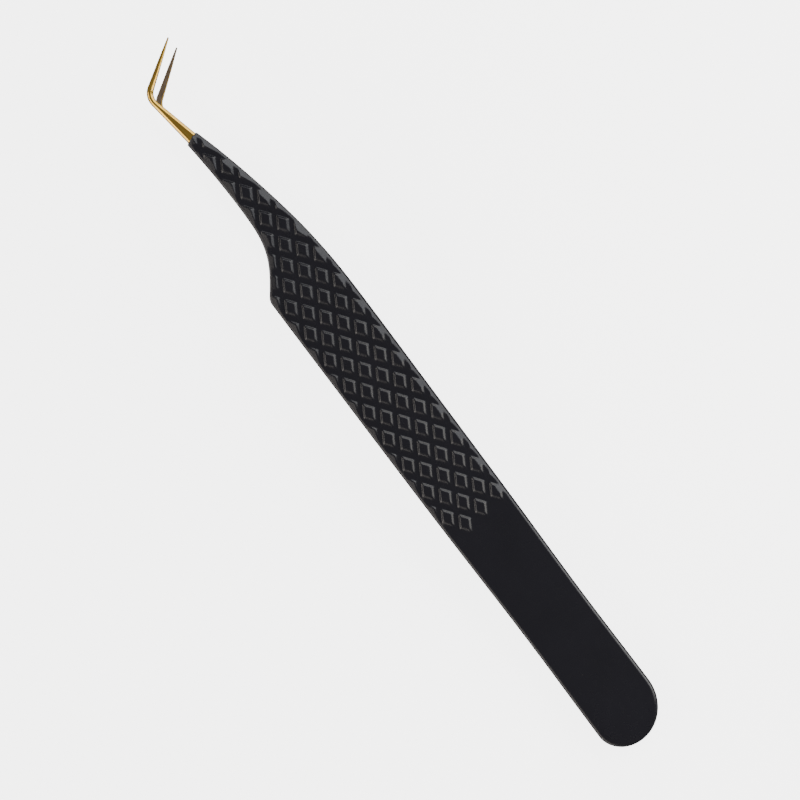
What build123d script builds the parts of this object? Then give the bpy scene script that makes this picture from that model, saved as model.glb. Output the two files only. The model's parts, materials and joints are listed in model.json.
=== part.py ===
"""Angled lash tweezers: two coated spring leaves welded at the heel, with bent gold needle tips.

Millimetres. The parts are built in the blade frame: X runs from the heel to the tips, Y lies across the
blades, Z is square to the plane midway between the two leaves, and the heel's end is at X = 0. The upper
leaf is modelled and the lower leaf is its mirror image. At the end everything is laid down on its lower
leaf, so the heel and the belly of the lower leaf rest on Z = 0.
"""

import math
import os

from build123d import *

# Steel leaf, seen from the side
STEEL_THICKNESS = 1.0
COAT_THICKNESS = 0.15
WELD_END = 15.0  # distance from the heel's end to where the leaves part
SPRING_END = 36.5  # front end of the springy stretch
COAT_END = 107.0  # front end of the black coat, on the neck's centre line
COAT_END_Y = 0.32
ROOT_SLOPE = 1.6  # degrees outward that each leaf is bent just in front of the weld
SPRING_SLOPE = 3.7  # degrees outward at the end of the springy stretch
TIP_SLOPE = 0.9  # degrees outward that are left where the gold tip starts
FLEX_GAP = 0.05  # running clearance where a leaf is divided at a flexure
CROTCH_BARE = 13.0  # past the weld, how far the narrow crotch stays without coat on the inner faces

# Handle, seen from above
HEEL_APEX_Y = 0.65  # side offset of the heel's rearmost point, which makes its rounding lopsided
HEEL_SHORT_ROUND = 4.0  # length of the tight rounding on the +Y side
HEEL_LONG_ROUND = 6.3  # length of the slack rounding on the -Y side
HANDLE_WIDTH = 10.46  # at the heel
WAIST_WIDTH = 10.3  # at the slimmest place
GRIP_ROOT_WIDTH = 10.66  # where the springy stretch ends
GRIP_MIDDLE_WIDTH = 10.92  # halfway from there to the shoulder
GRIP_WIDTH = 11.04  # at the widest place
WAIST_X = 21.0

# Gold tip
SHANK_LENGTH = 8.94  # from the coat's end to the corner that the bend rounds off
SHANK_TURN = 10.2  # degrees from +X towards +Y
PRONG_LENGTH = 9.17  # from that corner to the point
PRONG_TURN = 55.2  # degrees from +X towards -Y
BEND_RADIUS = 2.2
SHANK_WIDTH = 1.9
BEND_WIDTH = 0.92
POINT_LENGTH = 3.1  # of the steeper taper at the point
POINT_ROOT_WIDTH = 0.55
POINT_WIDTH = 0.2
BEND_THICKNESS = 0.85
POINT_THICKNESS = 0.25
TIP_BEVEL = 0.38  # width of the ground bevels beside the shank's flat
TIP_LEAST_FLAT = 0.3  # share of the half width that is always left flat
TIP_WALL = 0.72  # share of the tip's thickness left as an upright side wall
BEND_STEPS = 6

# Neck, seen from above: a cut-in side behind the shoulder and a long cheek on the other side
NECK_LENGTH = 26.15  # from the shoulder to the coat's front end
SHOULDER_X = COAT_END - NECK_LENGTH
SHOULDER_RADIUS = 2.0
SHOULDER_TURN = 38.0  # degrees from the handle's side to the cut-in of the neck
CHEEK_LENGTH = 34.1  # from the coat's front end back to where the cheek starts to curve in
CHEEK_X = COAT_END - CHEEK_LENGTH
SHANK_ROOM = 0.09  # steel left standing on each side of the shank where it comes out of the coat
NECK_END_WIDTH = SHANK_WIDTH + 2 * (SHANK_ROOM + COAT_THICKNESS)
# Each point is a share of the neck's length, and a share of the way from the neck's end out to the grip
CUT_IN_POINTS = ((0.185, 0.264), (0.296, -0.02), (0.465, -0.14), (0.732, -0.12), (1.115, 0.08))
CHEEK_POINTS = ((1.115, -0.22), (1.008, -0.026), (0.732, 0.374), (0.403, 0.738), (0.185, 0.908))
CUT_IN_END_SLOPE = 0.12
CHEEK_END_SLOPE = 0.35
COAT_END_TURN = 18.0  # degrees that the coat's front end is turned from square

# Raised diamonds of the grip, one skew lattice over the grip and the neck
DIAMOND_START = SPRING_END + 2.7  # no diamond has its centre nearer to the heel
DIAMOND_CENTRE = (COAT_END - 29.74, -1.1)
DIAMOND_STEP_A = (2.079, 1.552)
DIAMOND_STEP_B = (2.584, -1.574)
DIAMOND_HEIGHT = 0.3
DIAMOND_FOOT = 0.72  # share of the lattice step that a diamond's foot covers
DIAMOND_TOP = 0.48  # share of the lattice step that its flat top covers
DIAMOND_ROOT = 0.05  # how far a diamond is rooted in the coat
DIAMOND_SET_BACK = 0.04  # how far the cut diamonds stay inside the coat's own bevel
SMALLEST_DIAMOND = 0.065  # cubic millimetres: what an edge leaves of a diamond below this is ground away
BEVEL_DEPTH = 0.18
BEVEL_WIDTH = 0.3

# Spot welds in the heel
NUGGET_XS = (5.5, 11.0)
NUGGET_RADIUS = 1.3
NUGGET_DEPTH = 0.3  # how far a nugget reaches into each leaf

REACH = 40.0  # half size of the blocks that are cut to shape
OVERRUN = 2.0  # how far blocks run past the heel and the coat's front end before they are cut back
SQUARE_ACROSS = 0.9  # an edge whose direction has this much of Y in it is a cut end
COAT_TOP = STEEL_THICKNESS + COAT_THICKNESS
GRIP_TOP = COAT_TOP + DIAMOND_HEIGHT

# The inner steel face from the side, stretch by stretch: where it starts and ends along the leaf,
# and its outward slope in degrees at both ends. Each stretch is an arc or a straight line.
STRETCHES = (
    (0.0, WELD_END, 0.0, 0.0),
    (WELD_END, SPRING_END, ROOT_SLOPE, SPRING_SLOPE),
    (SPRING_END, COAT_END, SPRING_SLOPE, TIP_SLOPE),
    (COAT_END, COAT_END + REACH, TIP_SLOPE, TIP_SLOPE),
)


def leaf_point(distance, height):
    """X and Z at this distance along the inner steel face and this height above it, and the slope there."""
    x = min(distance, 0.0)
    z = slope = 0.0
    for start, end, first, last in STRETCHES:
        run = min(distance, end) - start
        if run <= 0:
            break
        slope = math.radians(first + (last - first) * run / (end - start))
        middle = (math.radians(first) + slope) / 2
        half_turn = slope - middle
        chord = run * (math.sin(half_turn) / half_turn if half_turn else 1.0)
        x += chord * math.cos(middle)
        z += chord * math.sin(middle)
    return x - height * math.sin(slope), z + height * math.cos(slope), slope


def leaf_curve(start, end, height):
    """The line that runs at one height above the inner face between two distances."""
    first, middle, last = (leaf_point(d, height)[:2] for d in (start, (start + end) / 2, end))
    if leaf_point(start, 0)[2] == leaf_point(end, 0)[2]:
        return Line(first, last)
    return ThreePointArc(first, middle, last)


def leaf_slab(start, end, low, high):
    """A slab between two heights above the inner face, as wide as the cutting blocks."""
    below = leaf_curve(start, end, low)
    above = leaf_curve(start, end, high)
    ends = Line(below @ 0, above @ 0) + Line(below @ 1, above @ 1)
    side = make_face([*below.edges(), *above.edges(), *ends.edges()])
    return extrude(Plane.XZ * side, REACH, both=True)


def neck_points(points, side, inset):
    """Outline points of the neck on one side: side is 1 for the cut-in and -1 for the cheek."""
    end = NECK_END_WIDTH / 2 + side * COAT_END_Y
    return [
        (SHOULDER_X + along * NECK_LENGTH, side * (end + (GRIP_WIDTH / 2 - end) * out - inset))
        for along, out in points
    ]


def handle_points(inset):
    """Outline points along the handle from the waist to the middle of the grip."""
    middle = (SPRING_END + SHOULDER_X) / 2
    widths = ((WAIST_X, WAIST_WIDTH), (SPRING_END, GRIP_ROOT_WIDTH), (middle, GRIP_MIDDLE_WIDTH))
    return [(x, width / 2 - inset) for x, width in widths]


def plan_outline(inset=0.0):
    """A leaf from above, from the rounded heel to past the coat's end, drawn in by the inset all round."""
    heel = HANDLE_WIDTH / 2 - inset
    grip = GRIP_WIDTH / 2 - inset
    tight_centre = (HEEL_SHORT_ROUND, HEEL_APEX_Y)
    slack_centre = (HEEL_LONG_ROUND, HEEL_APEX_Y)
    tight = EllipticalCenterArc(
        tight_centre, HEEL_SHORT_ROUND - inset, heel - HEEL_APEX_Y, start_angle=90, arc_size=90
    )
    slack = EllipticalCenterArc(
        slack_centre, HEEL_LONG_ROUND - inset, heel + HEEL_APEX_Y, start_angle=180, arc_size=90
    )
    side_points = handle_points(inset)
    left = Spline(tight @ 0, *side_points, (SHOULDER_X, grip), tangents=[(1, 0), (1, 0)])
    shoulder_centre = (SHOULDER_X, GRIP_WIDTH / 2 - SHOULDER_RADIUS)
    corner = CenterArc(shoulder_centre, SHOULDER_RADIUS - inset, 90, -SHOULDER_TURN)
    cut_in_points = neck_points(CUT_IN_POINTS, 1, inset)
    cut_in = Spline(corner @ 1, *cut_in_points, tangents=[corner % 1, (1, CUT_IN_END_SLOPE)])
    cheek_points = neck_points(CHEEK_POINTS, -1, inset)
    front = Line(cut_in @ 1, cheek_points[0])
    cheek = Spline(*cheek_points, (CHEEK_X, -grip), tangents=[(-1, -CHEEK_END_SLOPE), (-1, 0)])
    back_points = [(x, -y) for x, y in reversed(side_points)]
    right = Spline(cheek @ 1, *back_points, slack @ 1, tangents=[(-1, 0), (-1, 0)])
    lines = (tight, left, corner, cut_in, front, cheek, right, slack)
    return make_face([edge for line in lines for edge in line.edges()])


def coat_front_block():
    """Everything behind the coat's front end, which is square to the neck's own direction."""
    block = Box(2 * COAT_END, 2 * COAT_END, 2 * REACH, align=(Align.MAX, Align.CENTER, Align.CENTER))
    return Pos(COAT_END, COAT_END_Y) * Rot(Z=COAT_END_TURN) * block


def leaf_place(distance):
    """The place of a flat frame laid on the inner steel face at this distance along the leaf."""
    x, z, slope = leaf_point(distance, 0)
    return Pos(x, 0, z) * Rot(Y=-math.degrees(slope))


def leaf_body(outline, start, end, low, high):
    """A piece of the leaf: the outline from above, cut out of a bowed slab."""
    return extrude(outline, REACH, both=True) & leaf_slab(start, end, low, high)


def bevelled(body, depth, set_back=0.0):
    """Bevels the outline's edges on the outer face and leaves the cut ends as they are."""
    top = max(body.faces(), key=lambda face: face.normal_at().Z * face.area)
    along = [edge for edge in top.outer_wire().edges() if not is_cut_end(edge)]
    return chamfer(along, depth * BEVEL_WIDTH / BEVEL_DEPTH + set_back, depth, reference=top)


def is_cut_end(edge):
    """A cut end crosses the leaf, and the outline's own edges run along it or slant."""
    return abs(edge.tangent_at(0.5).Y) > SQUARE_ACROSS


def steel(outline, start, end):
    """The bare steel of one stretch of a leaf."""
    return leaf_body(outline, start, end, 0, STEEL_THICKNESS)


def coat(outline, core, start, end):
    """The black coat round one stretch of steel: outer face, side walls, and inner face past the crotch."""
    shell = bevelled(leaf_body(outline, start, end, 0, COAT_TOP) & coat_front_block(), BEVEL_DEPTH)
    inner_start = max(start, WELD_END + CROTCH_BARE)
    if inner_start < end:
        inner = leaf_body(outline, inner_start, end, -COAT_THICKNESS, STEEL_THICKNESS / 2)
        shell = shell + (inner & coat_front_block())
    return shell - core


def lattice_point(a, b):
    """The plan position that is a and b steps of the diamond lattice from its starting diamond."""
    (x, y), (ax, ay), (bx, by) = DIAMOND_CENTRE, DIAMOND_STEP_A, DIAMOND_STEP_B
    return x + a * ax + b * bx, y + a * ay + b * by


def diamond():
    """One raised diamond, a flat-topped pyramid centred on the origin of a flat frame."""
    origin = Vector(*lattice_point(0, 0))

    def ring(share, height):
        half = share / 2
        signs = ((half, half), (half, -half), (-half, -half), (-half, half))
        corners = [Vector(*lattice_point(*sign), height) - origin for sign in signs]
        return make_face(Polyline(*corners, close=True).edges())

    return loft([ring(DIAMOND_FOOT, COAT_TOP - DIAMOND_ROOT), ring(DIAMOND_TOP, GRIP_TOP)], ruled=True)


def diamonds(outline):
    """All the raised diamonds of one grip, cut back along the edges by the same slope as the bevel."""
    one = diamond()
    placed = []
    most = math.ceil(COAT_END / math.hypot(*DIAMOND_STEP_A))
    steps = range(-most, most + 1)
    for x, y in (lattice_point(a, b) for a in steps for b in steps):
        if DIAMOND_START < x < COAT_END and abs(y) < GRIP_WIDTH / 2 + DIAMOND_STEP_A[1]:
            placed.append(leaf_place(x) * Pos(0, y) * one)
    room = bevelled(
        leaf_body(outline, SPRING_END + FLEX_GAP, COAT_END + OVERRUN, 0, GRIP_TOP) & coat_front_block(),
        BEVEL_DEPTH + DIAMOND_HEIGHT,
        DIAMOND_SET_BACK,
    )
    cut_back = [piece for solid in placed for piece in (solid & room).solids()]
    return [piece for piece in cut_back if piece.volume > SMALLEST_DIAMOND]


def tip_stations():
    """Plan position, direction, width and thickness along the tip: shank, bend, prong and point."""
    turn = -PRONG_TURN - SHANK_TURN
    set_back = BEND_RADIUS * math.tan(math.radians(abs(turn)) / 2)
    along_shank = Vector(1, 0).rotate(Axis.Z, SHANK_TURN)
    along_prong = Vector(1, 0).rotate(Axis.Z, -PRONG_TURN)
    across = along_shank.rotate(Axis.Z, -90)
    corner = Vector(COAT_END, COAT_END_Y) + along_shank * SHANK_LENGTH
    centre = corner - along_shank * set_back + across * BEND_RADIUS
    root = corner - along_shank * (SHANK_LENGTH + OVERRUN)
    stations = [(root, SHANK_TURN, SHANK_WIDTH, STEEL_THICKNESS)]
    for step in range(BEND_STEPS + 1):
        angle = turn * step / BEND_STEPS
        place = centre - across.rotate(Axis.Z, angle) * BEND_RADIUS
        stations.append((place, SHANK_TURN + angle, BEND_WIDTH, BEND_THICKNESS))
    point_share = POINT_LENGTH / (PRONG_LENGTH - set_back)
    point_root = corner + along_prong * (PRONG_LENGTH - POINT_LENGTH)
    root_thickness = POINT_THICKNESS + (BEND_THICKNESS - POINT_THICKNESS) * point_share
    stations.append((point_root, -PRONG_TURN, POINT_ROOT_WIDTH, root_thickness))
    stations.append((corner + along_prong * PRONG_LENGTH, -PRONG_TURN, POINT_WIDTH, POINT_THICKNESS))
    return stations


def gold_tip():
    """The ground tip of one leaf: a flat back on the inner face, side walls, two bevels and a narrow flat."""
    rings = []
    for place, turn, width, thickness in tip_stations():
        half = width / 2
        flat = max(half - TIP_BEVEL, half * TIP_LEAST_FLAT)
        wall = thickness * TIP_WALL
        profile = ((-half, 0), (half, 0), (half, wall), (flat, thickness), (-flat, thickness), (-half, wall))
        local = Plane(Pos(place.X - COAT_END, place.Y) * Rot(Z=turn) * Location(Plane.YZ))
        rings.append(local * make_face(Polyline(*profile, close=True).edges()))
    tip = leaf_place(COAT_END) * loft(rings, ruled=True)
    return tip - coat_front_block()


def nuggets():
    """The spot welds: one lens-like disc each, half in the upper leaf and half in the lower."""
    return [Pos(x, 0) * Cylinder(NUGGET_RADIUS, 2 * NUGGET_DEPTH) for x in NUGGET_XS]


def one_leaf():
    """Every solid of the upper leaf, by the name it takes after the leaf's own."""
    outline = plan_outline()
    core_outline = plan_outline(COAT_THICKNESS)
    half_gap = FLEX_GAP / 2
    full_tab = steel(core_outline, -OVERRUN, WELD_END - half_gap)
    spring = steel(core_outline, WELD_END + half_gap, SPRING_END - half_gap)
    blade = steel(core_outline, SPRING_END + half_gap, COAT_END + OVERRUN) & coat_front_block()
    grip_coat = coat(outline, blade, SPRING_END + half_gap, COAT_END + OVERRUN)
    tab = full_tab
    for nugget in nuggets():
        tab -= nugget
    return {
        "heel_tab": tab,
        "heel_coat": coat(outline, full_tab, -OVERRUN, WELD_END - half_gap),
        "spring_strip": spring,
        "spring_coat": coat(outline, spring, WELD_END + half_gap, SPRING_END - half_gap),
        "grip_blade": blade,
        "grip_coat": grip_coat + diamonds(outline),
        "gold_tip": gold_tip(),
    }


def lying_place():
    """The move that lays the blade frame down: the heel's lower edge and the lower belly touch Z = 0."""
    top_x, top_z, _ = leaf_point(SPRING_END, GRIP_TOP)
    slope = math.radians(SPRING_SLOPE)
    radius = (COAT_END - SPRING_END) / math.radians(SPRING_SLOPE - TIP_SLOPE) + GRIP_TOP
    centre = (top_x + radius * math.sin(slope), top_z - radius * math.cos(slope))
    heel = (BEVEL_WIDTH, COAT_TOP)
    away = math.dist(centre, heel)
    lean = math.atan2(centre[1] - heel[1], centre[0] - heel[0]) + math.asin(radius / away)
    return Rot(Y=-math.degrees(lean))


def main():
    os.makedirs("parts", exist_ok=True)
    shapes = {"heel_weld_nuggets": Compound(nuggets())}
    for name, shape in one_leaf().items():
        shapes["upper_" + name] = shape
        shapes["lower_" + name] = mirror(shape, Plane.XY)
    laid = {name: lying_place() * shape for name, shape in shapes.items()}
    box = Compound(list(laid.values())).bounding_box()
    settle = Pos(-box.center().X, -box.center().Y, -box.min.Z)
    for name, shape in laid.items():
        export_step(settle * shape, f"parts/{name}.step")


if __name__ == "__main__":
    main()
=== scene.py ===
"""Angled lash tweezers: black powder-coated leaves with a raised diamond grip and bent gold needle tips.

Shapes are worked out in the blade frame, in millimetres: x runs from the heel to the tips, y lies across
the blades, and height is measured outwards from the plane midway between the leaves. The lower leaf is the
upper one mirrored in that plane. blade_to_row turns them into the row frame, in metres.
"""

import json
import math

import bmesh
import bpy
import numpy as np
from mathutils import Matrix, Vector


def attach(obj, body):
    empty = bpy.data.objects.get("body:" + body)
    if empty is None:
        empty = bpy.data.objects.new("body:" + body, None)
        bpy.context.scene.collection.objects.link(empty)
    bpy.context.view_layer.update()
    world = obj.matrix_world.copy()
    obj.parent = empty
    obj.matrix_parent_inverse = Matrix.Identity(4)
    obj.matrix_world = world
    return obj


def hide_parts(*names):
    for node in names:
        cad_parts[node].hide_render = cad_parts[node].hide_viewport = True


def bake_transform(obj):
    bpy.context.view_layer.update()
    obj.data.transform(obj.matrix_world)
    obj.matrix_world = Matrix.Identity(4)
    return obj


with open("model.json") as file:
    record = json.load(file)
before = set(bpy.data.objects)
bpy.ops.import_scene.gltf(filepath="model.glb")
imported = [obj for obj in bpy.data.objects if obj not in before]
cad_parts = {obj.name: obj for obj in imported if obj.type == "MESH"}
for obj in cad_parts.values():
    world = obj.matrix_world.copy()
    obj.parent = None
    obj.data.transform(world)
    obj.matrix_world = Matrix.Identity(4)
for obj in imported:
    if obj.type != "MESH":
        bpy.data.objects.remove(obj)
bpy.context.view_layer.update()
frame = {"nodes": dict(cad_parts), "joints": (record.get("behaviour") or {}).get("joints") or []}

MM = 0.001

# Steel leaf and coat, as the parts are built
STEEL_THICKNESS = 1.0
COAT = 0.15
COAT_TOP = STEEL_THICKNESS + COAT
WELD_END = 15.0
SPRING_END = 36.5
COAT_END = 107.0
COAT_END_Y = 0.32
COAT_END_TURN = math.radians(18.0)
CROTCH_BARE = 13.0
STRETCHES = (  # start and end along the leaf, and the outward slope in degrees at both
    (0.0, WELD_END, 0.0, 0.0),
    (WELD_END, SPRING_END, 1.6, 3.7),
    (SPRING_END, COAT_END, 3.7, 0.9),
    (COAT_END, 150.0, 0.9, 0.9),
)

# Gold tip
SHANK_LENGTH = 8.94
SHANK_TURN = math.radians(10.2)
PRONG_LENGTH = 9.17
PRONG_TURN = math.radians(55.2)
BEND_RADIUS = 2.2
SHANK_WIDTH = 1.9
BEND_WIDTH = 0.92
POINT_LENGTH = 3.1
POINT_ROOT_WIDTH = 0.55
POINT_WIDTH = 0.2
BEND_THICKNESS = 0.85
POINT_THICKNESS = 0.25
TIP_BEVEL = 0.38
TIP_LEAST_FLAT = 0.3
TIP_WALL = 0.72

# Outline from above
HEEL_APEX_Y = 0.65
HEEL_SHORT_ROUND = 4.0
HEEL_LONG_ROUND = 6.3
HALF_HANDLE = 5.23
HALF_WAIST = 5.15
HALF_GRIP_ROOT = 5.33
HALF_GRIP_MIDDLE = 5.46
HALF_GRIP = 5.52
WAIST_X = 21.0
NECK_LENGTH = 26.15
SHOULDER_X = COAT_END - NECK_LENGTH
SHOULDER_RADIUS = 2.0
SHOULDER_TURN = math.radians(38.0)
CHEEK_X = COAT_END - 34.1
HALF_NECK_END = SHANK_WIDTH / 2 + 0.09 + COAT
CUT_IN_POINTS = ((0.185, 0.264), (0.296, -0.02), (0.465, -0.14), (0.732, -0.12), (1.115, 0.08))
CHEEK_POINTS = ((0.185, 0.908), (0.403, 0.738), (0.732, 0.374), (1.008, -0.026), (1.115, -0.22))
CUT_IN_END_SLOPE = 0.12
CHEEK_END_SLOPE = 0.35

# Raised diamonds, in shares of the lattice step: the two sides towards the tip are short and steep, and the
# other two flare out in a hollow slope
DIAMOND_START = SPRING_END + 2.7
DIAMOND_CENTRE = np.array((COAT_END - 29.74, -1.1))
DIAMOND_STEP_A = np.array((2.079, 1.552))
DIAMOND_STEP_B = np.array((2.584, -1.574))
DIAMOND_HEIGHT = 0.3
STEEP_EDGE = 0.26
STEEP_SIDE = 0.1
HOLLOW_EDGE = 0.21
HOLLOW_SIDE = 0.25
HOLLOW_POWER = 1.7
SIDE_BLEND = 0.2  # softening of two opposite sides, in shares of the height, as are the next three
CORNER_BLEND = 0.3
TOP_BLEND = 0.45
FOOT_BLEND = 0.3

# Edges of the outer face: a flat bevel, and outside it a small round that turns into the side wall
BEVEL_DEPTH = 0.22
BEVEL_WIDTH = 0.48
ROUND_WIDTH = 0.24
ROUND_DEPTH = 0.16
BEVEL_BLEND = 0.04


def joint_place(name):
    """Where a joint's axis is, in the row frame in metres."""
    return Vector(next(joint["pos_m"] for joint in frame["joints"] if joint["name"] == name))


upper_root = joint_place("upper_root_flex")
lower_root = joint_place("lower_root_flex")
root_middle = (upper_root + lower_root) / 2
blade_normal = (upper_root - lower_root).normalized()
blade_forward = Vector((blade_normal.z, 0, -blade_normal.x))


def blade_to_row(points):
    """Blade frame in millimetres to row frame in metres: a lean about Y and a shift to the root joints."""
    points = np.asarray(points, float)
    x = (points[..., 0] - WELD_END) * MM
    y = points[..., 1] * MM
    z = points[..., 2] * MM
    forward, normal = np.array(blade_forward), np.array(blade_normal)
    across = np.array((0.0, 1.0, 0.0))
    return np.array(root_middle) + x[..., None] * forward + y[..., None] * across + z[..., None] * normal


# ---------------------------------------------------------------- curves of the leaf


def leaf_line(distance, height):
    """The bowed side line: each stretch is an arc whose slope changes evenly with the distance, and the
    height is laid off square to it. Returns x and z."""
    distance = np.asarray(distance, float)
    x = np.zeros_like(distance)
    z = np.zeros_like(distance)
    slope = np.zeros_like(distance)
    for start, end, first, last in STRETCHES:
        run = np.clip(distance - start, 0, end - start)
        here = np.radians(first + (last - first) * run / (end - start))
        middle = (math.radians(first) + here) / 2
        x = x + run * np.cos(middle)
        z = z + run * np.sin(middle)
        slope = np.where(distance > start, here, slope)
    return x - height * np.sin(slope), z + height * np.cos(slope)


def smooth_curve(points, first_slope, last_slope):
    """A natural smooth curve y(x) through the points with given end slopes: the cubic whose slopes at the
    points solve the usual three-term equations, so its bend has no jump. Returns a function of x."""
    xs, ys = np.array(points, float).T
    step = np.diff(xs)
    rise = np.diff(ys) / step
    count = len(xs)
    matrix = np.eye(count)
    right = np.zeros(count)
    right[0], right[-1] = first_slope, last_slope
    for i in range(1, count - 1):
        matrix[i, i - 1:i + 2] = step[i], 2 * (step[i] + step[i - 1]), step[i - 1]
        right[i] = 3 * (rise[i] * step[i - 1] + rise[i - 1] * step[i])
    slopes = np.linalg.solve(matrix, right)

    def curve(x):
        i = np.clip(np.searchsorted(xs, x) - 1, 0, count - 2)
        t = (x - xs[i]) / step[i]
        return (
            (1 + 2 * t) * (1 - t) ** 2 * ys[i] + t * (1 - t) ** 2 * step[i] * slopes[i]
            + t ** 2 * (3 - 2 * t) * ys[i + 1] - t ** 2 * (1 - t) * step[i] * slopes[i + 1]
        )

    return curve


def heel_round(x, length, half_width):
    """A quarter of an ellipse: zero at the rearmost point and the full half width at its length."""
    back = np.clip(1 - x / length, 0, 1)
    return half_width * np.sqrt(np.clip(1 - back ** 2, 0, 1))


def neck_points(points, side):
    """Outline points of the neck, from shares of its length and of the way out to the grip."""
    end = HALF_NECK_END + side * COAT_END_Y
    return [(SHOULDER_X + along * NECK_LENGTH, end + (HALF_GRIP - end) * out) for along, out in points]


side_points = (
    (WAIST_X, HALF_WAIST), (SPRING_END, HALF_GRIP_ROOT), ((SPRING_END + SHOULDER_X) / 2, HALF_GRIP_MIDDLE)
)
handle_left = smooth_curve(((HEEL_SHORT_ROUND, HALF_HANDLE), *side_points, (SHOULDER_X, HALF_GRIP)), 0, 0)
handle_right = smooth_curve(((HEEL_LONG_ROUND, HALF_HANDLE), *side_points, (CHEEK_X, HALF_GRIP)), 0, 0)
corner_end = (
    SHOULDER_X + SHOULDER_RADIUS * math.sin(SHOULDER_TURN),
    HALF_GRIP - SHOULDER_RADIUS * (1 - math.cos(SHOULDER_TURN)),
)
cut_in_points = (corner_end, *neck_points(CUT_IN_POINTS, 1))
cut_in = smooth_curve(cut_in_points, -math.tan(SHOULDER_TURN), CUT_IN_END_SLOPE)
cheek = smooth_curve(((CHEEK_X, HALF_GRIP), *neck_points(CHEEK_POINTS, -1)), 0, -CHEEK_END_SLOPE)


def left_edge(x):
    """y of the edge on the shoulder's side: heel rounding, waisted side, shoulder arc, cut-in neck."""
    drop = SHOULDER_RADIUS ** 2 - (x - SHOULDER_X) ** 2
    arc = HALF_GRIP - SHOULDER_RADIUS + np.sqrt(np.clip(drop, 0, None))
    heel = HEEL_APEX_Y + heel_round(x, HEEL_SHORT_ROUND, HALF_HANDLE - HEEL_APEX_Y)
    places = [x < HEEL_SHORT_ROUND, x < SHOULDER_X, x < corner_end[0]]
    return np.select(places, [heel, handle_left(x), arc], cut_in(x))


def right_edge(x):
    """y of the other edge: a slacker heel rounding, waisted side, and the long curve in to the neck."""
    heel = HEEL_APEX_Y - heel_round(x, HEEL_LONG_ROUND, HALF_HANDLE + HEEL_APEX_Y)
    return np.select([x < HEEL_LONG_ROUND, x < CHEEK_X], [heel, -handle_right(x)], -cheek(x))


def smooth_min(a, b, blend):
    """The lower of two heights, with the corner between them rounded over the blend."""
    share = np.clip(0.5 + 0.5 * (b - a) / blend, 0, 1)
    return b * (1 - share) + a * share - blend * share * (1 - share)


def diamond_relief(x, y):
    """Height of the raised diamonds. In steps of the skew lattice, the offset from the nearest centre gives
    a rise from the foot on each of the four sides: a straight one on the steep sides and a power curve on
    the hollow ones. The lowest of them, capped by the flat top, is the height. Corners and valleys are
    softened. No diamond has its centre nearer the heel than the first."""
    lattice = np.linalg.inv(np.array((DIAMOND_STEP_A, DIAMOND_STEP_B)).T)
    off = np.stack((x - DIAMOND_CENTRE[0], y - DIAMOND_CENTRE[1]), -1) @ lattice.T
    nearest = np.round(off)
    off = off - nearest
    steep = (STEEP_EDGE + STEEP_SIDE - off) / STEEP_SIDE
    hollow = np.clip((HOLLOW_EDGE + HOLLOW_SIDE + off) / HOLLOW_SIDE, 0, None) ** HOLLOW_POWER
    rise = smooth_min(steep, hollow, SIDE_BLEND)
    height = smooth_min(rise[..., 0], rise[..., 1], CORNER_BLEND)
    height = smooth_min(height, np.ones_like(height), TOP_BLEND)
    height = -smooth_min(-height, np.zeros_like(height), FOOT_BLEND)
    centre_x = DIAMOND_CENTRE[0] + nearest @ np.array((DIAMOND_STEP_A[0], DIAMOND_STEP_B[0]))
    return np.where(centre_x > DIAMOND_START, height, 0) * DIAMOND_HEIGHT


def outer_height(x, y, left, right, left_slope, right_slope):
    """Height of the coat's outer face: plain or diamond relief, cut down near both edges by one bevel plane
    and then by a small quarter round."""
    from_left = (left - y) / np.sqrt(1 + left_slope ** 2)
    from_right = (y - right) / np.sqrt(1 + right_slope ** 2)
    edge = smooth_min(from_left, from_right, BEVEL_BLEND / 2)
    bevel = COAT_TOP - BEVEL_DEPTH + edge * BEVEL_DEPTH / BEVEL_WIDTH
    drop = ROUND_DEPTH * np.clip(1 - edge / ROUND_WIDTH, 0, 1) ** 2
    return smooth_min(COAT_TOP + diamond_relief(x, y), bevel, BEVEL_BLEND) - drop


# ---------------------------------------------------------------- meshes

MERGE_DISTANCE = 1e-6  # metres; points nearer than this are one point


def tube_faces(rings, around):
    """Quads between neighbouring rings, each ring closed on itself, as index rows."""
    ring, place = np.meshgrid(np.arange(rings - 1), np.arange(around), indexing="ij")
    after = (place + 1) % around
    here = ring * around
    onward = here + around
    return np.stack((here + place, here + after, onward + after, onward + place), -1).reshape(-1, 4)


def make_mesh(name, points, faces, caps, mirrored, marks=None):
    """A smooth closed mesh from a whole array of points, turned so that its faces look outwards. The end
    caps, its only faces of more than four corners, stay flat. Marks give each quad's material slot."""
    flat = points.reshape(-1, 3).copy()
    if mirrored:
        flat[:, 2] *= -1
        faces = faces[:, ::-1]
        caps = [cap[::-1] for cap in caps]
    mesh = bpy.data.meshes.new(name)
    mesh.from_pydata(blade_to_row(flat).tolist(), [], faces.tolist() + [list(cap) for cap in caps])
    if marks is not None:
        mesh.polygons.foreach_set("material_index", np.concatenate((marks, np.zeros(len(caps), int))))
    shape = bmesh.new()
    shape.from_mesh(mesh)
    bmesh.ops.remove_doubles(shape, verts=shape.verts, dist=MERGE_DISTANCE)
    bmesh.ops.dissolve_degenerate(shape, dist=MERGE_DISTANCE / 10, edges=shape.edges)
    bmesh.ops.recalc_face_normals(shape, faces=shape.faces)
    for edge in {edge for face in shape.faces if len(face.verts) > 4 for edge in face.edges}:
        edge.smooth = False
    shape.to_mesh(mesh)
    shape.free()
    corners = np.zeros(len(mesh.polygons), np.int32)
    mesh.polygons.foreach_get("loop_total", corners)
    mesh.polygons.foreach_set("use_smooth", corners <= 4)
    piece = bpy.data.objects.new(name, mesh)
    bpy.context.scene.collection.objects.link(piece)
    return piece


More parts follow.
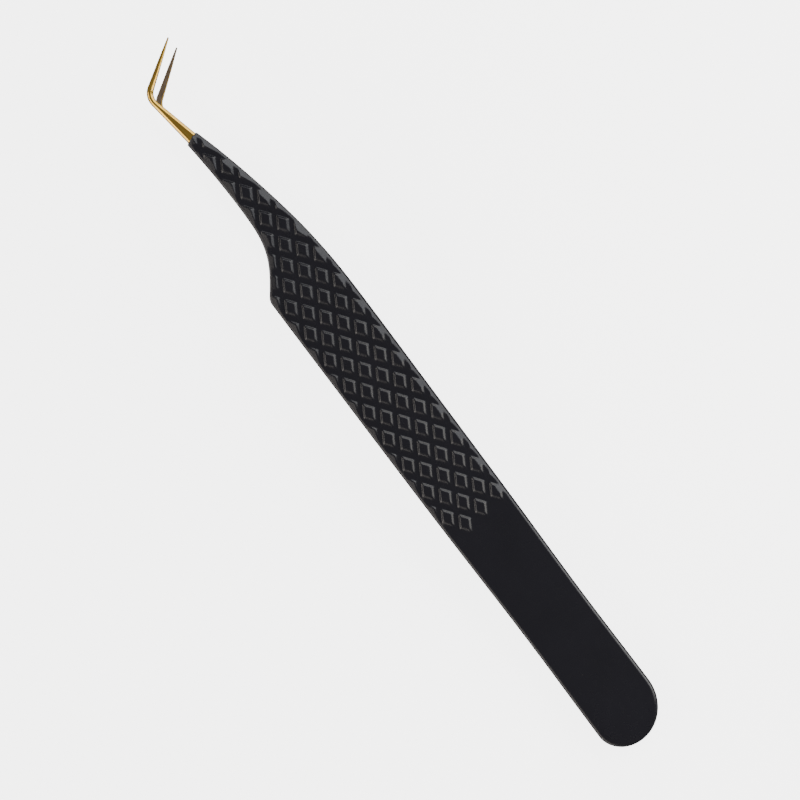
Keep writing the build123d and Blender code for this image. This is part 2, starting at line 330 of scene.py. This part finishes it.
EDGE_OFFSETS = np.array((0, 0.04, 0.08, 0.13, 0.19, 0.25, 0.32, 0.41, 0.5))  # of the points near each edge
MIDDLE_STEPS = 96  # points across the outer face between them
WALL_HEIGHTS = (0.7, 0.2)  # of the side wall, from the bevel down
INNER_STEPS = 6
EDGE_ROUND = 0.12
NARROW = 1.6  # outlines narrower than this squeeze the edge offsets together
SLOPE_STEP = 0.02  # over which an outline's slope is measured


def leaf_ring_grid(rows, inner_low, shear):
    """Rings round the coated leaf at each distance along it: across the outer face, down one side wall,
    back across the inner face and up the other wall. Near the coat's end the rings slant to its turned
    edge. A point's place across is a distance from the nearer edge, or a share of the middle between."""
    none = np.zeros_like(EDGE_OFFSETS)
    margin = EDGE_OFFSETS[-1]
    off = np.concatenate((EDGE_OFFSETS, np.full(MIDDLE_STEPS, margin), 2 * margin - EDGE_OFFSETS[::-1]))
    share = np.concatenate((none, np.linspace(0, 1, MIDDLE_STEPS + 2)[1:-1], none + 1))
    x_row = rows[:, None]
    slant = shear[:, None] * math.tan(COAT_END_TURN)

    def plan(offset, middle):
        """x, y and both edges at these places across, slanted where the shear says."""
        def place(left, right):
            width = np.maximum(left - right, 0)
            near = np.minimum(1, width / NARROW)
            return left - offset * near - (width - 2 * margin * near) * middle

        x = x_row + slant * (COAT_END_Y - place(left_edge(x_row), right_edge(x_row)))
        left, right = left_edge(x), right_edge(x)
        return x, place(left, right), left, right

    x, y, left, right = plan(off, share)
    before, after = np.maximum(x - SLOPE_STEP, 0), x + SLOPE_STEP
    left_slope = (left_edge(after) - left_edge(before)) / (2 * SLOPE_STEP)
    right_slope = (right_edge(after) - right_edge(before)) / (2 * SLOPE_STEP)
    top = np.stack((x, y, outer_height(x, y, left, right, left_slope, right_slope)), -1)

    low = inner_low[:, None]
    wall_top = COAT_TOP - BEVEL_DEPTH - ROUND_DEPTH

    def wall(offset, middle):
        x, y, _, _ = plan(np.full(len(WALL_HEIGHTS), offset), np.full(len(WALL_HEIGHTS), middle))
        height = low + (wall_top - low) * np.array(WALL_HEIGHTS)
        return np.stack((x + 0 * height, y + 0 * height, height), -1)

    middle = np.linspace(1, 0, INNER_STEPS)
    inset = EDGE_ROUND * (1 - 2 * middle) + 2 * margin * middle
    x, y, _, _ = plan(inset, middle)
    inner = np.stack((x, y, low + 0 * x), -1)
    return np.concatenate((top, wall(2 * margin, 1.0), inner, wall(0.0, 0.0)[:, ::-1]), 1)


def bow(points):
    """Lays flat leaf points on the bowed side line."""
    x, z = leaf_line(points[..., 0], points[..., 2])
    return np.stack((x, points[..., 1], z), -1)


def inner_coat(rows):
    """The inner face's height: no coat in the narrow crotch, then an S-curve down to the full coat."""
    share = np.clip((rows - WELD_END) / CROTCH_BARE, 0, 1)
    return -COAT * share ** 2 * (3 - 2 * share)


HALFWAY = 26.0  # where the handle piece ends and the grip piece starts, both rigid with the spring here
PLAIN_ROW = 0.35
HEEL_ROWS = 40


def handle_piece(side, mirrored):
    """The plain coated handle from the heel's round end to the middle of the springy stretch."""
    turn = np.linspace(0, math.pi / 2, HEEL_ROWS)
    heel_rows = HEEL_LONG_ROUND * (1 - np.cos(turn))
    plain = np.arange(HEEL_LONG_ROUND, HALFWAY - PLAIN_ROW / 3, PLAIN_ROW)[1:]
    rows = np.concatenate((heel_rows, plain, [HALFWAY]))
    grid = bow(leaf_ring_grid(rows, inner_coat(rows), np.zeros_like(rows)))
    around = grid.shape[1]
    last = np.arange(around) + (len(rows) - 1) * around
    piece = make_mesh(f"{side}_handle", grid, tube_faces(len(rows), around), [last], mirrored)
    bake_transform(piece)
    return piece


GRIP_ROW = 0.105
FINE_LEAD = 2.0  # how far before the first diamond the fine rows start
SLANT_RUN = 4.0  # over which the rings turn to the coat's slanted end
WAVE_RUN = 1.0  # over which the coat's uneven edge fades in
WAVES = ((0.05, 5.3, 1.0), (0.03, 13.0, 0.0))  # depth, turn per millimetre and start of each wave
LIP_SHRINK = 0.94
LIP_ROUND = 0.05


def grip_piece(side, mirrored):
    """The coated grip and neck with their raised diamonds, ending in an uneven, rounded coat edge round the
    gold shank. The edge waves along the leaf as a sum of two sines of the place across."""
    fine_start = DIAMOND_START - FINE_LEAD
    plain = np.arange(HALFWAY, fine_start, PLAIN_ROW)
    fine = np.arange(fine_start, COAT_END - GRIP_ROW / 2, GRIP_ROW)
    rows = np.concatenate((plain, fine, [COAT_END]))
    shear = np.clip((rows - COAT_END + SLANT_RUN) / SLANT_RUN, 0, 1)
    grid = leaf_ring_grid(rows, inner_coat(rows), shear)
    wave = sum(depth * np.sin(turn * grid[..., 1] + start) for depth, turn, start in WAVES)
    grid[..., 0] += wave * np.clip((rows - COAT_END + WAVE_RUN) / WAVE_RUN, 0, 1)[:, None]
    lip = grid[-1:]
    middle = np.array((COAT_END, COAT_END_Y, STEEL_THICKNESS / 2))
    rounded = middle + (lip - middle) * LIP_SHRINK + np.array((LIP_ROUND, 0, 0))
    grid = bow(np.concatenate((grid, rounded)))
    around = grid.shape[1]
    first = np.arange(around)[::-1]
    last = np.arange(around) + len(rows) * around
    piece = make_mesh(f"{side}_grip", grid, tube_faces(len(rows) + 1, around), [first, last], mirrored)
    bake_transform(piece)
    return piece


def rounded_ring(corners, share):
    """Polygons with rounded corners: each corner becomes three points of a small curve, a share of the
    sides long."""
    before = np.roll(corners, 1, 1)
    after = np.roll(corners, -1, 1)
    start = corners + (before - corners) * share
    end = corners + (after - corners) * share
    middle = (start + 2 * corners + end) / 4
    return np.stack((start, middle, end), 2).reshape(len(corners), -1, 2)


TUCK = 1.0  # how far the tip reaches in under the coat's end
SHANK_ROWS = 40
BEND_ROWS = 26
PRONG_ROWS = 70


def tip_path():
    """Plan places, directions and distances along the tip: straight shank, an arc round the bend, straight
    prong. The distance is zero where the bend starts."""
    turn = PRONG_TURN + SHANK_TURN
    set_back = BEND_RADIUS * math.tan(turn / 2)
    along = np.array((math.cos(SHANK_TURN), math.sin(SHANK_TURN)))
    across = np.array((along[1], -along[0]))
    prong = np.array((math.cos(PRONG_TURN), -math.sin(PRONG_TURN)))
    corner = np.array((COAT_END, COAT_END_Y)) + along * SHANK_LENGTH
    before = np.linspace(-TUCK - SHANK_LENGTH + set_back, 0, SHANK_ROWS)
    angle = np.linspace(0, turn, BEND_ROWS)[1:-1]
    after = np.linspace(0, PRONG_LENGTH - set_back, PRONG_ROWS)
    start = corner - along * set_back
    centre = start + across * BEND_RADIUS
    arc = centre + BEND_RADIUS * (np.sin(angle)[:, None] * along - np.cos(angle)[:, None] * across)
    shank_line = start + along * before[:, None]
    prong_line = corner + prong * (set_back + after)[:, None]
    places = np.concatenate((shank_line, arc, prong_line))
    turns = np.concatenate((0 * before + SHANK_TURN, SHANK_TURN - angle, 0 * after - PRONG_TURN))
    distance = np.concatenate((before, BEND_RADIUS * angle, BEND_RADIUS * turn + after))
    return places, turns, distance


INNER_QUAD = 2  # the quad of each ring that lies on the inner face
CORNER_SHARE = 0.1  # of each side that its rounded corners take


def tip_piece(side, mirrored):
    """The gold tip: a six-sided ground section with rounded corners, carried along shank, bend and prong
    while its width and thickness shrink in straight runs between the same stations as the part's. The
    inner face stays on the leaf's inner line."""
    places, turns, distance = tip_path()
    bend_end = BEND_RADIUS * (PRONG_TURN + SHANK_TURN)
    point = distance[-1]
    stations = (distance[0], 0, bend_end, point - POINT_LENGTH, point)
    widths = (SHANK_WIDTH, BEND_WIDTH, BEND_WIDTH, POINT_ROOT_WIDTH, POINT_WIDTH)
    width = np.interp(distance, stations, widths)
    ends = (distance[0], 0, bend_end, point)
    thicknesses = (STEEL_THICKNESS, BEND_THICKNESS, BEND_THICKNESS, POINT_THICKNESS)
    thickness = np.interp(distance, ends, thicknesses)
    half = width / 2
    flat = np.maximum(half - TIP_BEVEL, half * TIP_LEAST_FLAT)
    wall = thickness * TIP_WALL
    none = np.zeros_like(half)
    across = np.stack((-half, half, half, flat, -flat, -half), 1)
    up = np.stack((none, none, wall, thickness, thickness, wall), 1)
    ring = rounded_ring(np.stack((across, up), -1), CORNER_SHARE)
    side_x = -np.sin(turns)[:, None] * ring[..., 0]
    side_y = np.cos(turns)[:, None] * ring[..., 0]
    grid = np.stack((places[:, :1] + side_x, places[:, 1:] + side_y, ring[..., 1]), -1)
    around = grid.shape[1]
    first = np.arange(around)[::-1]
    last = np.arange(around) + (len(places) - 1) * around
    faces = tube_faces(len(places), around)
    inner = (faces[:, 0] % around == INNER_QUAD).astype(int)
    piece = make_mesh(f"{side}_tip", bow(grid), faces, [first, last], mirrored, inner)
    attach(piece, f"{side}_arm")
    return piece


# ---------------------------------------------------------------- materials


def linear(code):
    """An sRGB hex colour as linear light, with full cover."""
    parts = [int(code[i:i + 2], 16) / 255 for i in (1, 3, 5)]
    return (*[c / 12.92 if c <= 0.04045 else ((c + 0.055) / 1.055) ** 2.4 for c in parts], 1.0)


def add_node(material, kind, links=(), **settings):
    """Adds a node with its settings: names starting with a capital are input sockets, the rest are
    properties. Each link is an input's name and the output socket that feeds it."""
    node = material.node_tree.nodes.new(kind)
    for name, value in settings.items():
        if name[0].isupper():
            node.inputs[name.replace("_", " ")].default_value = value
        else:
            setattr(node, name, value)
    for name, output in links:
        material.node_tree.links.new(output, node.inputs[name])
    return node


def new_material(name):
    """A new node material and its shader."""
    material = bpy.data.materials.new(name)
    material.use_nodes = True
    shader = material.node_tree.nodes["Principled BSDF"]
    return material, shader


def powder_coat():
    """Satin black epoxy powder coat, baked over etched steel: near-black with a trace of blue, a very fine
    orange-peel skin, slightly glossier clouds, and a few pale flecks of dust caught in it."""
    material, shader = new_material("satin_black_powder_coat")
    place = add_node(material, "ShaderNodeTexCoord").outputs["Object"]
    peel = add_node(material, "ShaderNodeTexNoise", [("Vector", place)], Scale=1 / (0.9 * MM), Detail=2.0)
    cloud = add_node(material, "ShaderNodeTexNoise", [("Vector", place)], Scale=1 / (6 * MM), Detail=2.0)
    tone = add_node(material, "ShaderNodeMix", [("Factor", cloud.outputs["Fac"])], data_type="RGBA")
    tone.inputs["A"].default_value = linear("#1b1a21")
    tone.inputs["B"].default_value = linear("#212029")
    flat = add_node(material, "ShaderNodeMapping", [("Vector", place)], Scale=(1.0, 1.0, 0.02))
    dust = add_node(material, "ShaderNodeTexVoronoi", [("Vector", flat.outputs["Vector"])])
    dust.inputs["Scale"].default_value = 1 / (8 * MM)
    fleck = add_node(
        material, "ShaderNodeMapRange", [("Value", dust.outputs["Distance"])],
        From_Min=0.009, From_Max=0.014, To_Min=1.0, To_Max=0.0,
    )
    colour_links = [("Factor", fleck.outputs["Result"]), ("A", tone.outputs["Result"])]
    colour = add_node(material, "ShaderNodeMix", colour_links, data_type="RGBA")
    colour.inputs["B"].default_value = linear("#6f6a68")
    gloss = add_node(
        material, "ShaderNodeMapRange", [("Value", peel.outputs["Fac"])],
        From_Min=0.3, From_Max=0.7, To_Min=0.24, To_Max=0.29,
    )
    bump = add_node(
        material, "ShaderNodeBump", [("Height", peel.outputs["Fac"])], Strength=0.1, Distance=0.008 * MM
    )
    links = material.node_tree.links
    links.new(colour.outputs["Result"], shader.inputs["Base Color"])
    links.new(gloss.outputs["Result"], shader.inputs["Roughness"])
    links.new(bump.outputs["Normal"], shader.inputs["Normal"])
    shader.inputs["IOR"].default_value = 1.5
    return material


def gilt_metal(name, dark, light, smooth, rough, grain):
    """Gold plating over stainless steel: a yellow metal whose tone drifts where the film is thinner, with
    grinding grain of the given size in millimetres, drawn out along the tip."""
    material, shader = new_material(name)
    place = add_node(material, "ShaderNodeTexCoord").outputs["Object"]
    stretch = add_node(material, "ShaderNodeMapping", [("Vector", place)], Scale=(0.3, 1.0, 1.0))
    grind = add_node(material, "ShaderNodeTexNoise", [("Vector", stretch.outputs["Vector"])], Detail=4.0)
    grind.inputs["Scale"].default_value = 1 / (grain * MM)
    cloud = add_node(material, "ShaderNodeTexNoise", [("Vector", place)], Scale=1 / (2.5 * MM), Detail=2.0)
    tone = add_node(material, "ShaderNodeMix", [("Factor", cloud.outputs["Fac"])], data_type="RGBA")
    tone.inputs["A"].default_value = linear(light)
    tone.inputs["B"].default_value = linear(dark)
    gloss = add_node(
        material, "ShaderNodeMapRange", [("Value", grind.outputs["Fac"])],
        From_Min=0.3, From_Max=0.7, To_Min=smooth, To_Max=rough,
    )
    bump = add_node(
        material, "ShaderNodeBump", [("Height", grind.outputs["Fac"])], Strength=0.25, Distance=0.01 * MM
    )
    links = material.node_tree.links
    links.new(tone.outputs["Result"], shader.inputs["Base Color"])
    links.new(gloss.outputs["Result"], shader.inputs["Roughness"])
    links.new(bump.outputs["Normal"], shader.inputs["Normal"])
    shader.inputs["Metallic"].default_value = 1.0
    return material


def rolled_steel():
    """Cold-rolled stainless spring steel: grey metal with long fine rolling lines along the strip."""
    material, shader = new_material("cold_rolled_spring_steel")
    place = add_node(material, "ShaderNodeTexCoord").outputs["Object"]
    stretch = add_node(material, "ShaderNodeMapping", [("Vector", place)], Scale=(0.05, 1.0, 1.0))
    lines = add_node(material, "ShaderNodeTexNoise", [("Vector", stretch.outputs["Vector"])], Detail=3.0)
    lines.inputs["Scale"].default_value = 1 / (0.15 * MM)
    tone = add_node(material, "ShaderNodeMix", [("Factor", lines.outputs["Fac"])], data_type="RGBA")
    tone.inputs["A"].default_value = linear("#a9a9ab")
    tone.inputs["B"].default_value = linear("#c2c2c4")
    gloss = add_node(
        material, "ShaderNodeMapRange", [("Value", lines.outputs["Fac"])],
        From_Min=0.3, From_Max=0.7, To_Min=0.28, To_Max=0.4,
    )
    links = material.node_tree.links
    links.new(tone.outputs["Result"], shader.inputs["Base Color"])
    links.new(gloss.outputs["Result"], shader.inputs["Roughness"])
    shader.inputs["Metallic"].default_value = 1.0
    return material


def paper_floor():
    """Matt white paper, lit evenly from behind so that it glows white, with faint clouds of pulp."""
    material, shader = new_material("white_paper_sweep")
    place = add_node(material, "ShaderNodeTexCoord").outputs["Object"]
    mottle = add_node(material, "ShaderNodeTexNoise", [("Vector", place)], Scale=1 / (40 * MM), Detail=2.0)
    tone = add_node(material, "ShaderNodeMix", [("Factor", mottle.outputs["Fac"])], data_type="RGBA")
    tone.inputs["A"].default_value = linear("#fbfbfb")
    tone.inputs["B"].default_value = linear("#ffffff")
    material.node_tree.links.new(tone.outputs["Result"], shader.inputs["Base Color"])
    shader.inputs["Roughness"].default_value = 0.9
    shader.inputs["Emission Color"].default_value = (1, 1, 1, 1)
    shader.inputs["Emission Strength"].default_value = 4.5
    return material


# ---------------------------------------------------------------- the object

coat = powder_coat()
gold = gilt_metal("gold_plated_ground_steel", "#dba852", "#f2cb5e", 0.15, 0.24, 0.5)
jaw_face = gilt_metal("sanded_gilt_jaw_face", "#8f7c6a", "#b8a184", 0.35, 0.5, 0.3)
steel = rolled_steel()

for side, mirrored in (("upper", False), ("lower", True)):
    handle = handle_piece(side, mirrored)
    grip = grip_piece(side, mirrored)
    tip = tip_piece(side, mirrored)
    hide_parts(f"{side}_heel_coat")
    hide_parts(f"{side}_spring_coat", f"{side}_grip_coat")
    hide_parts(f"{side}_gold_tip")
    for piece in (handle, grip):
        piece.data.materials.append(coat)
    tip.data.materials.append(gold)
    tip.data.materials.append(jaw_face)

for name, node in frame["nodes"].items():
    if name.endswith(("_tab", "_strip", "_blade", "_nuggets")):
        node.data.materials.clear()
        node.data.materials.append(steel)

# ---------------------------------------------------------------- floor, light and camera

bpy.ops.mesh.primitive_plane_add(size=40)
floor = bpy.context.object
floor.name = "floor"
floor.data.materials.append(paper_floor())
floor.visible_glossy = False
floor.visible_diffuse = False

world = bpy.data.worlds.new("studio")
world.use_nodes = True
world.node_tree.nodes["Background"].inputs["Color"].default_value = (1, 1, 1, 1)
world.node_tree.nodes["Background"].inputs["Strength"].default_value = 0.22
bpy.context.scene.world = world

CAMERA_DISTANCE = 500.0  # millimetres
CAMERA_LEAN = math.radians(6.5)  # towards the heel
CAMERA_SIDE_LEAN = math.radians(1.3)  # away from the shoulder's side
PICTURE_WIDTH = 113.717  # millimetres across the picture at the object
BLADE_TURN = math.radians(36.82)  # the blade's slant from upright in the picture
CENTRE = (58.9, -0.925, 3.4)  # blade frame point in the middle of the picture


def aim(place, target, up):
    """A rotation that looks from the place to the target with the given upward direction."""
    back = (place - target).normalized()
    right = up.cross(back).normalized()
    return Matrix((right, back.cross(right), back)).transposed().to_4x4()


def blade_direction(x, y, z):
    """A direction of the blade frame in the row frame."""
    return (blade_forward * x + Vector((0, 1, 0)) * y + blade_normal * z).normalized()


camera = bpy.data.objects.new("camera", bpy.data.cameras.new("camera"))
bpy.context.scene.collection.objects.link(camera)
target = Vector(blade_to_row(CENTRE).tolist())
backwards = blade_direction(-math.tan(CAMERA_LEAN), -math.tan(CAMERA_SIDE_LEAN), 1)
place = target + backwards * CAMERA_DISTANCE * MM
camera_up = blade_direction(math.cos(BLADE_TURN), -math.sin(BLADE_TURN), 0)
camera.matrix_world = Matrix.Translation(place) @ aim(place, target, camera_up)
camera.data.angle = 2 * math.atan(PICTURE_WIDTH / 2 / CAMERA_DISTANCE)
camera.data.clip_start = 0.01
bpy.context.scene.camera = camera


def strip_light(name, along, across, height, size, power, colour):
    """A long soft light beside the blades: placed in metres of the blade frame from the middle of the
    picture, aimed at it, with its long side in line with the blades."""
    light = bpy.data.lights.new(name, "AREA")
    light.shape = "RECTANGLE"
    light.size_y, light.size = size
    light.energy = power
    light.color = colour
    lamp = bpy.data.objects.new(name, light)
    bpy.context.scene.collection.objects.link(lamp)
    spot = target + blade_forward * along + Vector((0, 1, 0)) * across + blade_normal * height
    lamp.matrix_world = Matrix.Translation(spot) @ aim(spot, target, blade_forward)


# The long strips draw the bright lines of the diamonds and bevels, and the two cards those of the gold tips
strip_light("left_strip", 0.03, 0.52, 0.245, (1.1, 0.21), 2.7, (1.0, 0.93, 0.85))
strip_light("right_strip", 0.12, -0.46, 0.38, (0.7, 0.2), 1.4, (0.95, 0.97, 1.0))
strip_light("tip_card", 0.055, -0.13, 0.045, (0.12, 0.04), 0.045, (1.0, 0.97, 0.9))
strip_light("point_card", -0.057, -0.09, 0.05, (0.07, 0.04), 0.035, (1.0, 0.97, 0.9))
